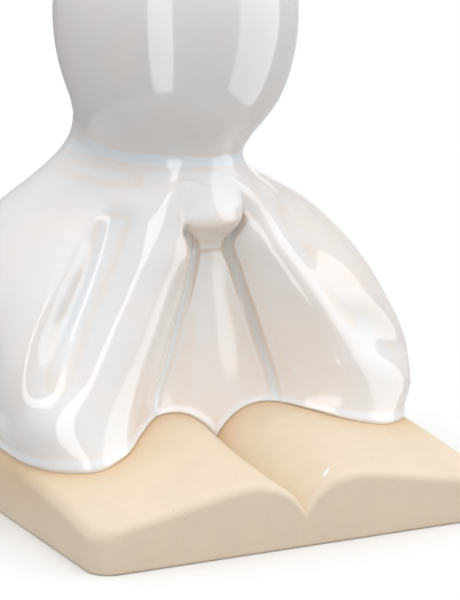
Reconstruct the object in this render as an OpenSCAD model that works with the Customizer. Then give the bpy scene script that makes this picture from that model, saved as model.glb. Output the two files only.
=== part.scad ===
// Porcelain figurine: a plain-headed figure in a folded cloak, seated on an open book.
// Millimetres. The origin is the middle of the book's underside, and the figure faces -Y.

/* [Book base] */
// Width of the open book
base_w = 108; // [106:1:114]
// Depth of the book from front to back
base_d = 116; // [115:1:124]
// Height of the book at the gutter between its pages
gutter_h = 15; // [14:0.5:18]
// Rise of each page above the gutter
page_rise = 7.8; // [6.4:0.2:8.4]
// Distance from the gutter to the top of each page
page_crest = 14; // [12:0.5:16]
// Radius of the book's upper edges
edge_r = 1.6; // [1.2:0.1:2.4]
// Radius of the book's corners seen from above
corner_r = 6; // [4:0.5:9]
// Fall of the pages from the figure to the front edge
front_fall = 5.8; // [4:0.2:6.2]
// Depth by which the gutter dips between the figure and the front edge
gutter_fall = 2; // [0:0.25:2.5]
// Fall of the pages to their outer edges
side_fall = 2; // [1:0.25:3]
// Thickness of the walls round the hollow underside
base_wall = 7; // [6:0.5:9]
// Height of the hollow underside
hollow_h = 5; // [4:0.5:5.5]
// Diameter of the firing vent between the two hollows
vent_d = 6; // [4:0.5:8]

/* [Cloaked body] */
// Width across the folds of the cloak
cloak_w = 112; // [108:1:114]
// Depth of the body from the belly to the back
body_d = 65; // [60:0.5:66]
// Height from the gutter to the neck joint
body_h = 67.7; // [64:0.1:72]
// How far the chest stands out over the belly
chest_out = 6.6; // [5:0.2:8]
// How far the left fold's foot reaches past the right one's
left_reach = 5; // [0:0.5:6]
// How far the right fold stands out past the left one
right_full = 4; // [0:0.5:5]
// Width of the neck at its joint with the head
neck_w = 38; // [36:0.5:41]
// Depth of the neck at its joint with the head
neck_d = 56.5; // [54:0.5:58]
// Distance from the belly back to the front of the neck
neck_back = 4; // [3:0.5:6]
// Distance from the front of the book to the belly
belly_back = 49.5; // [48:0.5:50]

/* [Head] */
// Width of the head
head_w = 61; // [56:1:64]
// Height from the neck joint to the middle of the head
head_mid = 36.3; // [35:0.1:38]
// Height from the middle of the head to its crown
crown_h = 31; // [28:0.5:36]
// Distance from the belly back to the head's axis
head_back = 20.5; // [19:0.5:23]

/* [Walls and fits] */
// Thickness of the folds and of the chest
fold_t = 3.5; // [3:0.25:4]
// Thickness of the body's and the head's walls
wall = 3.5; // [3:0.25:4]
// Layer of slip between the figure and the pages
seat_gap = 0.25; // [0.2:0.05:0.4]
// Clearance round the neck spigot
spigot_gap = 0.3; // [0.2:0.05:0.5]
// Height of the neck spigot inside the head
spigot_h = 4; // [3:0.5:4.5]

/* [Hidden] */

// Slope of the walls of the hollow underside
draft = 1;
belly_y = belly_back - base_d / 2;
neck_z = gutter_h + seat_gap + body_h;

// Outline of the right half at the lower nine levels, as shares of half width and depth.
// Each row runs from the front centre to the back centre: belly, crease, inner face, ridge,
// shoulder, groove, rear fold, side, back corner, back.
levels = [0, 0.15, 0.3, 0.445, 0.59, 0.703, 0.8, 0.885, 0.945, 1];
outline_x = [
    [0, 0.295, 0.411, 0.554, 0.714, 0.839, 0.920, 0.938, 0.839, 0],
    [0, 0.268, 0.375, 0.536, 0.714, 0.871, 0.982, 1.000, 0.893, 0],
    [0, 0.202, 0.312, 0.482, 0.643, 0.800, 0.950, 1.000, 0.902, 0],
    [0, 0.146, 0.250, 0.393, 0.554, 0.696, 0.875, 0.964, 0.884, 0],
    [0, 0.089, 0.182, 0.304, 0.446, 0.577, 0.754, 0.875, 0.848, 0],
    [0, 0.068, 0.154, 0.241, 0.371, 0.491, 0.632, 0.771, 0.786, 0],
    [0, 0.146, 0.186, 0.232, 0.321, 0.429, 0.527, 0.650, 0.679, 0],
    [0, 0.136, 0.171, 0.214, 0.286, 0.375, 0.425, 0.495, 0.526, 0],
    [0, 0.098, 0.134, 0.173, 0.232, 0.288, 0.330, 0.376, 0.390, 0]];
outline_y = [
    [-0.023, -0.046, -0.138, -0.231, -0.254, -0.185, -0.077, 0.154, 0.723, 0.954],
    [-0.008, -0.015, -0.100, -0.180, -0.182, -0.131, -0.038, 0.154, 0.738, 0.977],
    [0.008, 0.008, -0.069, -0.138, -0.120, -0.046, -0.046, 0.146, 0.746, 0.992],
    [0.023, 0.023, -0.054, -0.115, -0.080, 0.028, -0.018, 0.169, 0.754, 1.000],
    [0.038, 0.038, -0.031, -0.092, -0.060, 0.069, 0.025, 0.200, 0.746, 1.000],
    [0.049, 0.046, -0.023, -0.069, -0.041, 0.100, 0.086, 0.254, 0.738, 1.000],
    [0.023, 0.009, -0.012, -0.020, 0.005, 0.131, 0.157, 0.308, 0.731, 0.992],
    [0.041, 0.030, 0.020, 0.022, 0.058, 0.138, 0.222, 0.369, 0.728, 0.972],
    [0.051, 0.046, 0.046, 0.055, 0.095, 0.178, 0.280, 0.418, 0.735, 0.951]];

// The tenth level is the oval neck, its points given by their angles from the front
neck_angles = [0, 13, 19, 26, 37, 49, 61, 72, 119, 180];
neck_mid = neck_back + neck_d / 2;

// Shares of the left reach by which each point moves forwards and outwards
reach_share = [0, 0, 0.3, 0.8, 1, 0.9, 0.5, 0, 0, 0];
spread_share = [0, 0.1, 0.4, 0.45, 0.3, 0.1, 0, 0, 0, 0];

// Shares of the right fold's fullness by which each point moves outwards and forwards, low and high
low_x = [0, 0, 0.58, 1.1, 0.6, 0.3, 0, 0, 0, 0];
low_y = [0, 0, 0.53, 1.4, 1.05, 1.1, 0, 0, 0, 0];
high_x = [0, 0, 0, 0, -0.8, -1.5, -0.9, 0, 0, 0];
high_y = [0, 0, 0, 0, 0.3, 2, 1.1, 0, 0, 0];

// Stations round the outline: 0 at the front centre, 1 at the crease, 5 at the groove, 9 at the back
back_u = 9;
chest_us = [-1, -0.94, -0.5, 0, 0.5, 0.94, 1];
fold_us = [1, 1.3, 1.6, 2, 2.35, 2.7, 3, 3.5, 4, 4.35, 4.7, 5];
rear_us = [5, 5.3, 5.65, 6, 6.35, 6.7, 7, 7.25, 7.5, 7.75, 8, 8.25, 8.5, 8.75, 9];

// Rows of the folds as shares of the body's height; the chest starts on row chest_row
rows = [0, 0.06, 0.12, 0.18, 0.25, 0.325, 0.4, 0.475, 0.55, 0.62, 0.687, 0.696, 0.72, 0.745, 0.775,
        0.81, 0.85, 0.89, 0.93, 0.967, 1];
chest_row = 10;
last_row = len(rows) - 1;
// Rows of the cavity in the body, from the neck down
cavity_rows = [0.967, 0.89, 0.81, 0.745, 0.687, 0.55, 0.4, 0.25, 0.12, 0];

// Cubic curve through points p at knots k, at place x
function slope(p, k, i) =
    i == 0 ? (p[1] - p[0]) / (k[1] - k[0])
    : i == len(p) - 1 ? (p[i] - p[i - 1]) / (k[i] - k[i - 1])
    : let (a = k[i] - k[i - 1], b = k[i + 1] - k[i])
      ((p[i] - p[i - 1]) / a * b + (p[i + 1] - p[i]) / b * a) / (a + b);
function hermite(t, a, b, ma, mb) =
    (2 * t ^ 3 - 3 * t ^ 2 + 1) * a + (t ^ 3 - 2 * t ^ 2 + t) * ma
    + (3 * t ^ 2 - 2 * t ^ 3) * b + (t ^ 3 - t ^ 2) * mb;
function span_at(k, x, i = 0) = i >= len(k) - 2 || x < k[i + 1] ? i : span_at(k, x, i + 1);
function curve(p, k, x) =
    let (i = span_at(k, x), d = k[i + 1] - k[i])
    hermite((x - k[i]) / d, p[i], p[i + 1], slope(p, k, i) * d, slope(p, k, i + 1) * d);
function smooth(a, b, x) = let (t = min(1, max(0, (x - a) / (b - a)))) t * t * (3 - 2 * t);
function soft_max(a, b, k) = (a + b + sqrt((a - b) ^ 2 + k ^ 2)) / 2;

// Course of outline point j up the levels, sideways and front to back
function across(j) = concat([for (r = outline_x) r[j] * cloak_w / 2], [neck_w / 2 * sin(neck_angles[j])]);
function along(j) = concat([for (r = outline_y) r[j] * body_d], [neck_mid - neck_d / 2 * cos(neck_angles[j])]);

// Height of a page over the gutter by the figure, with its fall to the front and to the sides
function page(x, y) = let (
    s = abs(x) / page_crest,
    ahead = max(0, 1 - (y + base_d / 2) / belly_back),
    aside = max(0, 1 - (base_w / 2 - abs(x)) / 12),
    dip = gutter_fall * 4 * ahead * (1 - ahead) * exp(-(x / 10) ^ 2))
    page_rise * s * exp(1 - s) - front_fall * ahead ^ 1.3 - dip - side_fall * aside ^ 2;

// Corners of the half outline at height share h, on one side, with a mirrored point past each end
function half_outline(h, side) = let (
    spread = side < 0 ? left_reach * max(0, 1 - h / 0.65) ^ 1.2 : 0,
    reach = side < 0 ? left_reach * (1 - smooth(0.22, 0.75, h)) : 0,
    full = side < 0 ? 0 : right_full,
    low = full * smooth(0, 0.27, h) * (1 - smooth(0.45, 0.95, h)),
    high = full * smooth(0.25, 0.5, h) * (1 - smooth(0.7, 1, h)),
    p = [for (j = [0 : back_u]) [
        curve(across(j), levels, h) + spread * spread_share[j] + low * low_x[j] + high * high_x[j],
        curve(along(j), levels, h) - reach * reach_share[j] - low * low_y[j] - high * high_y[j]]])
    concat([[-p[1][0], p[1][1]]], p, [[-p[back_u - 1][0], p[back_u - 1][1]]]);
function lengths(p, i = 0, sum = 0) =
    i == len(p) - 1 ? [sum] : concat([sum], lengths(p, i + 1, sum + norm(p[i + 1] - p[i])));

// The chest stands out of the belly between the creases, and above them runs into the folds
function chest(u, x, h) = let (
    out = 1 - min(1, max(0, (h - 0.82) / 0.18)) ^ 1.2,
    narrow = max(0, 1 - u * u) ^ 0.75 * smooth(0.684, 0.82, h),
    wide = u < 0 ? smooth(0.755, 0.815, h) : smooth(0.80, 0.90, h),
    broad = exp(-(x / cloak_w / (u < 0 ? 0.09 : 0.08)) ^ 2) * (1 - smooth(4, 6, abs(u))),
    beside = u < 0 ? smooth(1, 2.2, -u) * smooth(0.5, 0.8, h) : 0)
    chest_out * out * (narrow * (1 - wide) + broad * (wide + (1 - wide) * beside));

// One row of the skin: the points at stations us, each moved in towards the body's middle
function middle(h) = body_d * (0.46 + 0.07 * h);
function skin_row(us, h, inset) = let (
    right = half_outline(h, 1),
    left = half_outline(h, -1),
    right_k = lengths(right),
    left_k = lengths(left),
    mid = [0, middle(h)])
    [for (i = [0 : len(us) - 1]) let (
        u = us[i],
        p = u < 0 ? left : right,
        k = u < 0 ? left_k : right_k,
        n = min(back_u - 1, floor(abs(u))) + 1,
        q = curve(p, k, k[n] + (abs(u) - n + 1) * (k[n + 1] - k[n])),
        s = [u < 0 ? -q[0] : q[0], q[1] - chest(u, q[0], h)],
        r = s + (mid - s) * inset[i] / norm(mid - s),
        sink = max(0, 1 - h / 0.36) ^ 2,
        y = r[1] + belly_y)
        [r[0], y, gutter_h + seat_gap + h * body_h + page(r[0], y) * sink]];
function level_row(us, h, inset) = skin_row(us, h, [for (u = us) inset]);

// Two triangles for each cell of a grid of points, n to a row
function cells(n, first, last, from = 0, wrap = false) =
    [for (j = [first : last - 1], i = [0 : n - (wrap ? 1 : 2)])
        let (a = from + j * n + i, b = from + j * n + (i + 1) % n)
        each [[a, a + n, b], [b, a + n, b + n]]];
function flip(faces) = [for (f = faces) [f[2], f[1], f[0]]];

// A shell piece between two grids of the same size, closed along its four edges
module shell_piece(outer, inner) {
    m = len(outer);
    n = len(outer[0]);
    all_points = [for (r = outer) each r, for (r = inner) each r];
    back = m * n;
    foot = [for (i = [0 : n - 2]) each [[i, i + 1, back + i], [i + 1, back + i + 1, back + i]]];
    top = [for (i = [0 : n - 2]) let (a = (m - 1) * n + i)
        each [[a, back + a, a + 1], [a + 1, back + a, back + a + 1]]];
    near = [for (j = [0 : m - 2]) let (a = j * n)
        each [[a, back + a, a + n], [a + n, back + a, back + a + n]]];
    far = [for (j = [0 : m - 2]) let (a = j * n + n - 1)
        each [[a, a + n, back + a], [a + n, back + a + n, back + a]]];
    polyhedron(all_points, concat(cells(n, 0, m - 1), flip(cells(n, 0, m - 1, back)), foot, top, near, far));
}

module fold(us) {
    shell_piece([for (h = rows) level_row(us, h, 0)], [for (h = rows) level_row(us, h, fold_t)]);
}
function mirrored(us) = [for (i = [len(us) - 1 : -1 : 0]) -us[i]];

module left_front_fold() { color("white") fold(mirrored(fold_us)); }
module right_front_fold() { color("white") fold(fold_us); }
module left_rear_fold() { color("ghostwhite") fold(mirrored(rear_us)); }
module right_rear_fold() { color("ghostwhite") fold(rear_us); }

module chest() {
    upper = [for (j = [chest_row + 2 : last_row]) rows[j]];
    color("seashell")
        shell_piece([for (h = concat([rows[chest_row]], upper)) level_row(chest_us, h, 0)],
                    [for (h = concat([rows[chest_row + 1]], upper)) level_row(chest_us, h, fold_t)]);
}

// Section of the head at height z above the neck joint: front, back, half width
head_low = head_mid + 4.5;
function egg(z) = let (t = (z - head_mid) / (z < head_mid ? head_low : crown_h))
    head_w / 2 * sqrt(max(0, 1 - t * t));
neck_rear = neck_back + neck_d;
function nape(z) = neck_rear - 0.95 * z;
chin_h = 3;
function head_front(z) = let (e = head_back - egg(z)) e + (neck_back - e) * max(0, 1 - z / chin_h) ^ 2;
function head_rear(z) = soft_max(head_back + egg(z), nape(z), 3 * min(1, z / 4));
function head_half(z) = soft_max(egg(z), neck_w / 2 * (1 - z / 40), 4 * min(1, z / 4));

// A ring of points round the neck or head, drawn in by a wall
head_steps = 36;
function oval(front, rear, half, z) =
    [for (i = [0 : head_steps - 1]) let (a = 360 / head_steps * i)
        [half * sin(a), belly_y + (front + rear) / 2 - (rear - front) / 2 * cos(a), neck_z + z]];
function head_ring(z, inset) =
    oval(head_front(z) + inset, head_rear(z) - inset, head_half(z) - inset, z);

module head() {
    crown = head_mid + crown_h;
    shape = [for (a = [0 : 7]) head_mid + crown_h * sin(a * 11.5)];
    out_z = concat([0, 0.5, 1.1, 1.9, 3, 5, 8, 11.5, 15, 19, 23, 27.5, 32], shape);
    in_z = [for (i = [len(out_z) - 1 : -1 : 5]) out_z[i]];
    thick = [for (z = in_z) wall * (z > head_mid ? 1 - 0.1 * (z - head_mid) / crown_h : 1)];
    rings = concat([for (z = out_z) head_ring(z, 0)],
                   [for (i = [0 : len(in_z) - 1]) inner_ring(in_z[i], thick[i])],
                   [head_ring(0, wall)]);
    pole = [[0, belly_y + head_back, neck_z + crown], [0, belly_y + head_back, neck_z + crown - wall]];
    n = head_steps;
    o = len(out_z);
    m = len(rings);
    outer_pole = m * n;
    inner_pole = outer_pole + 1;
    cap = [for (i = [0 : n - 1]) [(o - 1) * n + i, outer_pole, (o - 1) * n + (i + 1) % n]];
    vault = [for (i = [0 : n - 1]) [o * n + i, o * n + (i + 1) % n, inner_pole]];
    rim = [for (i = [0 : n - 1]) let (a = (m - 1) * n + i, b = (m - 1) * n + (i + 1) % n, j = (i + 1) % n)
        each [[a, i, b], [b, i, j]]];
    color("white")
        polyhedron([for (r = rings) each r, each pole],
                   concat(cells(n, 0, o - 1, 0, true), cells(n, o, m - 1, 0, true), cap, vault, rim));
}
// The head's inside is the outside drawn in along its slope
function inner_ring(z, t) = let (s = (z - head_mid) / (z < head_mid ? head_low : crown_h))
    oval(head_front(z) + t, head_rear(z) - t, head_half(z) - t, z - t * 0.5 * s);

module book_base() {
    half = base_w / 2;
    inner_half = half - edge_r;
    pocket_half = half - base_wall;
    flat = [0, 1, 2.2, 3.6, 5.2, 7, 9, 11.2, 13.5, 16, 19, 22.5, 26.5, 31, 36, 41];
    right_x = concat([for (x = flat) if (x < pocket_half - 2) x], [pocket_half - draft, pocket_half],
                     [for (a = [0 : 30 : 90]) inner_half + edge_r * sin(a)]);
    all_x = concat([for (i = [len(right_x) - 1 : -1 : 1]) -right_x[i]], right_x);
    ends = concat([for (a = [90 : -30 : 0]) edge_r * (1 - sin(a))], [3, 5, base_wall, base_wall + draft]);
    depths = concat(ends, [for (d = [15 : 9 : belly_back]) d],
                    [for (i = [len(ends) - 1 : -1 : 0]) base_d - ends[i]]);
    function side_drop(x) = let (s = max(0, abs(x) - inner_half)) edge_r - sqrt(max(0, edge_r ^ 2 - s ^ 2));
    function end_drop(d) = let (e = min(d, base_d - d), s = max(0, edge_r - e))
        edge_r - sqrt(max(0, edge_r ^ 2 - s ^ 2));
    function end_half(d) = let (e = min(d, base_d - d), s = max(0, corner_r - e))
        half - corner_r + sqrt(max(0, corner_r ^ 2 - s ^ 2));
    // The underside is hollow inside a flat rim
    function under(x, d) = abs(x) < pocket_half - draft / 2
        && min(d, base_d - d) > base_wall + draft / 2 ? hollow_h : 0;
    n = len(all_x);
    rings = [for (d = depths) let (k = end_half(d) / half, y = d - base_d / 2) concat(
        [for (x = all_x) [x * k, y, gutter_h + page(x * k, y) - side_drop(x) - end_drop(d)]],
        [for (i = [n - 1 : -1 : 0]) [all_x[i] * k, y, under(all_x[i], d)]])];
    m = len(depths);
    w = 2 * n;
    front = [for (i = [0 : n - 2]) each [[i, w - 1 - i, i + 1], [i + 1, w - 1 - i, w - 2 - i]]];
    rear = [for (i = [0 : n - 2]) let (a = (m - 1) * w)
        each [[a + i, a + i + 1, a + w - 1 - i], [a + i + 1, a + w - 2 - i, a + w - 1 - i]]];
    color("wheat")
        difference() {
            polyhedron([for (r = rings) each r], concat(flip(cells(w, 0, m - 1, 0, true)), front, rear));
            translate([0, belly_y + body_d / 2, 0]) cylinder(h = gutter_h + page_rise, d = vent_d, $fn = 48);
        }
}

// Hollow body under the folds: the belly shows between the creases, the rest lies one fold thickness in
module body() {
    side_us = concat([for (i = [1 : len(fold_us) - 1]) fold_us[i]], [for (i = [1 : len(rear_us) - 2]) rear_us[i]]);
    function ring_us(shown) = concat([-back_u], mirrored(side_us), [-1, shown ? -1 : -0.94, -0.5, 0, 0.5,
        shown ? 1 : 0.94, 1], side_us);
    function ring_inset(shown) = [for (i = [0 : len(ring_us(shown)) - 1])
        shown && abs(i - len(side_us) - 4) < 2.5 ? 0 : fold_t];
    outer = [for (j = [0 : last_row]) let (shown = j <= chest_row)
        skin_row(ring_us(shown), rows[j], ring_inset(shown))];
    n = len(outer[0]);
    hole = [for (h = cavity_rows) level_row(ring_us(false), h, fold_t + wall)];
    // The spigot keeps inside the head's wall and leans forward with the nape
    function spigot_ring(z, inset) = [for (p = level_row(ring_us(false), 1, inset))
        [p[0], min(p[1], belly_y + nape(z) - inset), neck_z + z]];
    clear = wall + spigot_gap;
    rings = concat(outer, [spigot_ring(spigot_gap, clear), spigot_ring(spigot_h, clear),
        spigot_ring(spigot_h, clear + wall)], hole);
    m = len(rings);
    foot = [for (i = [0 : n - 1]) let (a = (m - 1) * n + i, b = (m - 1) * n + (i + 1) % n, j = (i + 1) % n)
        each [[a, i, b], [b, i, j]]];
    color("snow")
        polyhedron([for (r = rings) each r], concat(cells(n, 0, m - 1, 0, true), foot));
}

book_base();
body();
chest();
left_front_fold();
right_front_fold();
left_rear_fold();
right_rear_fold();
head();
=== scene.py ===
"""Porcelain figurine: a plain-headed figure in a folded cloak, seated on an open book.

The figure is glazed white, and the book is bare clay.
"""

import functools
import math

import bpy
import numpy as np
from bpy.props import FloatProperty, FloatVectorProperty, PointerProperty
from mathutils import Matrix, Vector


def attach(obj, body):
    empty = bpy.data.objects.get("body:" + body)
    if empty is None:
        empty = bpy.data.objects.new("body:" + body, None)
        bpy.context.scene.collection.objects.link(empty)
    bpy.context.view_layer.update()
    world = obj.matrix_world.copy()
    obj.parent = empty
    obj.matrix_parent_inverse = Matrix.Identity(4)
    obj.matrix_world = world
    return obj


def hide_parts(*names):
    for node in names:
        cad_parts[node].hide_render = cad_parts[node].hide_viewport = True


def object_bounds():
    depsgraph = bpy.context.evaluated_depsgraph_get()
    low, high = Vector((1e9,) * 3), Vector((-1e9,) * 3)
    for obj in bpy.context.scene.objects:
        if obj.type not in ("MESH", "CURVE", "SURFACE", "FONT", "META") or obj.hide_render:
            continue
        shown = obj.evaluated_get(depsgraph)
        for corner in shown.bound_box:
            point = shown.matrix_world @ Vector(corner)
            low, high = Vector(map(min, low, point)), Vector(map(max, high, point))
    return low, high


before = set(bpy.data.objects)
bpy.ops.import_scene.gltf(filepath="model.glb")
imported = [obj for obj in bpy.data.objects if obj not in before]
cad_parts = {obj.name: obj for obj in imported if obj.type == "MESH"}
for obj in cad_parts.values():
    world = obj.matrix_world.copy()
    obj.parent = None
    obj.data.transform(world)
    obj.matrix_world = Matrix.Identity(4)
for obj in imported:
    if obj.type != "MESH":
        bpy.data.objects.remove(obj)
CAD_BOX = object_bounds()

bl_info = {
    "name": "Porcelain Figurine",
    "version": (1, 0, 0),
    "blender": (4, 5, 0),
    "location": "3D View > Sidebar > Figurine",
    "description": "A glazed figure in a folded cloak, seated on an open book",
    "category": "Object",
}

# A millimetre in metres
MM = 0.001

# Outline of the right half at nine levels, as shares of half the cloak's width and of the body's depth.
# Each row runs from the front centre to the back centre: belly, crease, inner face, ridge, shoulder,
# groove, rear fold, side, back corner, back.

LEVELS = (0, 0.15, 0.3, 0.445, 0.59, 0.703, 0.8, 0.885, 0.945, 1)
OUTLINE_X = (
    (0, 0.295, 0.411, 0.554, 0.714, 0.839, 0.920, 0.938, 0.839, 0),
    (0, 0.268, 0.375, 0.536, 0.714, 0.871, 0.982, 1.000, 0.893, 0),
    (0, 0.202, 0.312, 0.482, 0.643, 0.800, 0.950, 1.000, 0.902, 0),
    (0, 0.146, 0.250, 0.393, 0.554, 0.696, 0.875, 0.964, 0.884, 0),
    (0, 0.089, 0.182, 0.304, 0.446, 0.577, 0.754, 0.875, 0.848, 0),
    (0, 0.068, 0.154, 0.241, 0.371, 0.491, 0.632, 0.771, 0.786, 0),
    (0, 0.146, 0.186, 0.232, 0.321, 0.429, 0.527, 0.650, 0.679, 0),
    (0, 0.136, 0.171, 0.214, 0.286, 0.375, 0.425, 0.495, 0.526, 0),
    (0, 0.098, 0.134, 0.173, 0.232, 0.288, 0.330, 0.376, 0.390, 0),
)
OUTLINE_Y = (
    (-0.023, -0.046, -0.138, -0.231, -0.254, -0.185, -0.077, 0.154, 0.723, 0.954),
    (-0.008, -0.015, -0.100, -0.180, -0.182, -0.131, -0.038, 0.154, 0.738, 0.977),
    (0.008, 0.008, -0.069, -0.138, -0.120, -0.046, -0.046, 0.146, 0.746, 0.992),
    (0.023, 0.023, -0.054, -0.115, -0.080, 0.028, -0.018, 0.169, 0.754, 1.000),
    (0.038, 0.038, -0.031, -0.092, -0.060, 0.069, 0.025, 0.200, 0.746, 1.000),
    (0.049, 0.046, -0.023, -0.069, -0.041, 0.100, 0.086, 0.254, 0.738, 1.000),
    (0.023, 0.009, -0.012, -0.020, 0.005, 0.131, 0.157, 0.308, 0.731, 0.992),
    (0.041, 0.030, 0.020, 0.022, 0.058, 0.138, 0.222, 0.369, 0.728, 0.972),
    (0.051, 0.046, 0.046, 0.055, 0.095, 0.178, 0.280, 0.418, 0.735, 0.951),
)
# The tenth level is the oval neck, its points given by their angles from the front
NECK_ANGLES = (0, 13, 19, 26, 37, 49, 61, 72, 119, 180)
# Share of the left reach taken by each point of the outline
REACH_SHARE = (0, 0, 0.3, 0.8, 1, 0.9, 0.5, 0, 0, 0)
# Share of the left reach by which each point also moves outwards
SPREAD_SHARE = (0, 0.1, 0.4, 0.45, 0.3, 0.1, 0, 0, 0, 0)
# Shares of the right fold's fullness by which each point moves outwards and forwards, low and high
LOW_X = (0, 0, 0.58, 1.1, 0.6, 0.3, 0, 0, 0, 0)
LOW_Y = (0, 0, 0.53, 1.4, 1.05, 1.1, 0, 0, 0, 0)
HIGH_X = (0, 0, 0, 0, -0.8, -1.5, -0.9, 0, 0, 0)
HIGH_Y = (0, 0, 0, 0, 0.3, 2, 1.1, 0, 0, 0)

# Shares of the panel's run to the right taken by each point of the outline
PANEL_SHARE = (0, 1, 0.25, 0, 0, 0, 0, 0, 0, 0)
# Stations of the outline at which the pieces meet
CREASE, GROOVE, BACK = 1, 5, 9
# Height shares over which the left reach fades, and up to which it also spreads
REACH_FADE = (0.22, 0.75)
SPREAD_TOP = 0.65
# Height shares over which the right fold's fullness, low and high, and the panel's run come and go
LOW_IN, LOW_OUT = (0, 0.27), (0.45, 0.95)
HIGH_IN, HIGH_OUT = (0.25, 0.5), (0.7, 1)
PANEL_IN, PANEL_OUT = (0, 0.35), (0.62, 0.8)
# Height share up to which the skin follows the pages
SINK_TOP = 0.36
# Height shares of the seam under the chest, on the skin and behind it
CHEST_SEAM = 0.687
CHEST_BACK = 0.696
# Height share of the fullest chest, and the share over which it runs into the neck
CHEST_FULL, CHEST_FADE = 0.82, 0.18
# Height shares of the rows on the inside of the body, from the neck down
LINING = (0.967, 0.89, 0.81, 0.745, 0.687, 0.55, 0.4, 0.25, 0.12, 0.0)
# Station and half width of the rubbed ridge, and the height shares over which the rubbing comes and goes
RIDGE, RIDGE_W = 3.15, 0.75
RUB_IN, RUB_OUT = (0.04, 0.2), (0.74, 0.88)
# Stations of the creases with the height shares at which their lines end; how the lines come and fade
CREASE_LINES = ((-CREASE, 0.83), (CREASE, 0.84))
CREASE_IN, CREASE_FADE = (-0.02, 0.05), 0.08
# Reach of a crease's line to each side in stations, and width of the painted shade along it in widths of
# the line
CREASE_REACH, CREASE_SHADE_W = 1.2, 1.4
# Station and height share of the shoulder where the glaze is drawn thin, each with its half width
SHOULDER, SHOULDER_H = (6.5, 1.6), (0.62, 0.36)

# In millimetres: how far from their outer edges the pages fall, and half width of the dip in the gutter
SIDE_RUN, GUTTER_W = 12, 10
# Radius of the book's lower edges, and distance of the lines that keep its walls flat
FOOT_R, WALL_STEP = 0.6, 0.6
# Reach of the painted shade beside the glazed foot, clay darker and warmer there, partly from the clay's
# own flashing
FLASH_AND_SHADE_REACH = 6.0
# How far under the neck joint the egg of the head would close, and height of the chin's run to it
CHIN_DROP, CHIN_H = 4.5, 3
# Height at which the neck would run to a point, and slope of the nape
NECK_TAPER, NAPE_SLOPE = 40, 0.95
# Heights over the joint between which the head's columns turn from the neck's angles to even ones
TURN = (2, 34)
# Height of the closer rows at the foot and at the neck, and on the head
CLOSE_ROWS, CLOSE_HEAD = 4.0, 5
# Step of the glaze's flow in square millimetres, and the largest share of a hollow it fills at once
FLOW_STEP, FLOW_MOST = 0.03, 0.45
# Depth of glaze that shows the full pooled colour
POOL_DEPTH = 0.55
# Reach of the filling up and down from the neck joint, and its shares at angles from the front
NECK_REACH = 9
FILL_ANGLES, FILL_SHARES = (0, 32, 60, 75, 105), (1, 0.95, 0.6, 0.7)
# Reach over which the nape's crest is levelled
NAPE_LEVEL = 2.4
# How far the foot is tucked in and sunk under the lip
FOOT_TUCK, FOOT_SINK = 0.35, 0.04

# In metres: ends of a pale fleck on the right page, a fleck of glaze whose glint is painted into its
# colour as a painted highlight
GLINT_FLECK = ((0.0063, -0.0544, 0.0155), (0.0087, -0.0527, 0.0167))
# Studio lights: azimuth and elevation in degrees, distance, width, height and height of the aim in
# metres, and the stage's levels for their light and for their reflection
SOFTBOXES = {
    "strip_light": (-40, 0, 1.2, 0.5, 3.7, 0.79, "strip", "strip_shine"),
    "side_light": (60, 0, 1.2, 1.1, 3.0, 0.57, "side", "side_shine"),
    "upper_light": (60, 0, 1.2, 1.1, 1.0, 2.58, "side", "upper_shine"),
    "top_light": (-20, 86, 1.2, 1.2, 1.2, 0.07, "top", "top"),
}
# Foot of the belly, its place in the picture and the picture's size in pixels, and the sensor's width
BELLY_FOOT = (0, -0.0085, 0.015)
FOOT_PIXEL, PICTURE = (213, 436), (460, 600)
SENSOR = 36.0


def length(name, description, default):
    """A size property in metres."""
    return FloatProperty(
        name=name, description=description, default=default, min=0.0, unit="LENGTH", precision=5
    )


def colour(name, description, default):
    """A colour property, in linear light."""
    return FloatVectorProperty(
        name=name, description=description, default=default, size=3, min=0.0, max=1.0, subtype="COLOR"
    )


def brightness(name, description, default):
    """A property for the level of a light."""
    return FloatProperty(name=name, description=description, default=default, min=0.0)


def angle(name, description, degrees):
    """An angle property."""
    return FloatProperty(
        name=name, description=description, default=math.radians(degrees), subtype="ANGLE"
    )


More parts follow.
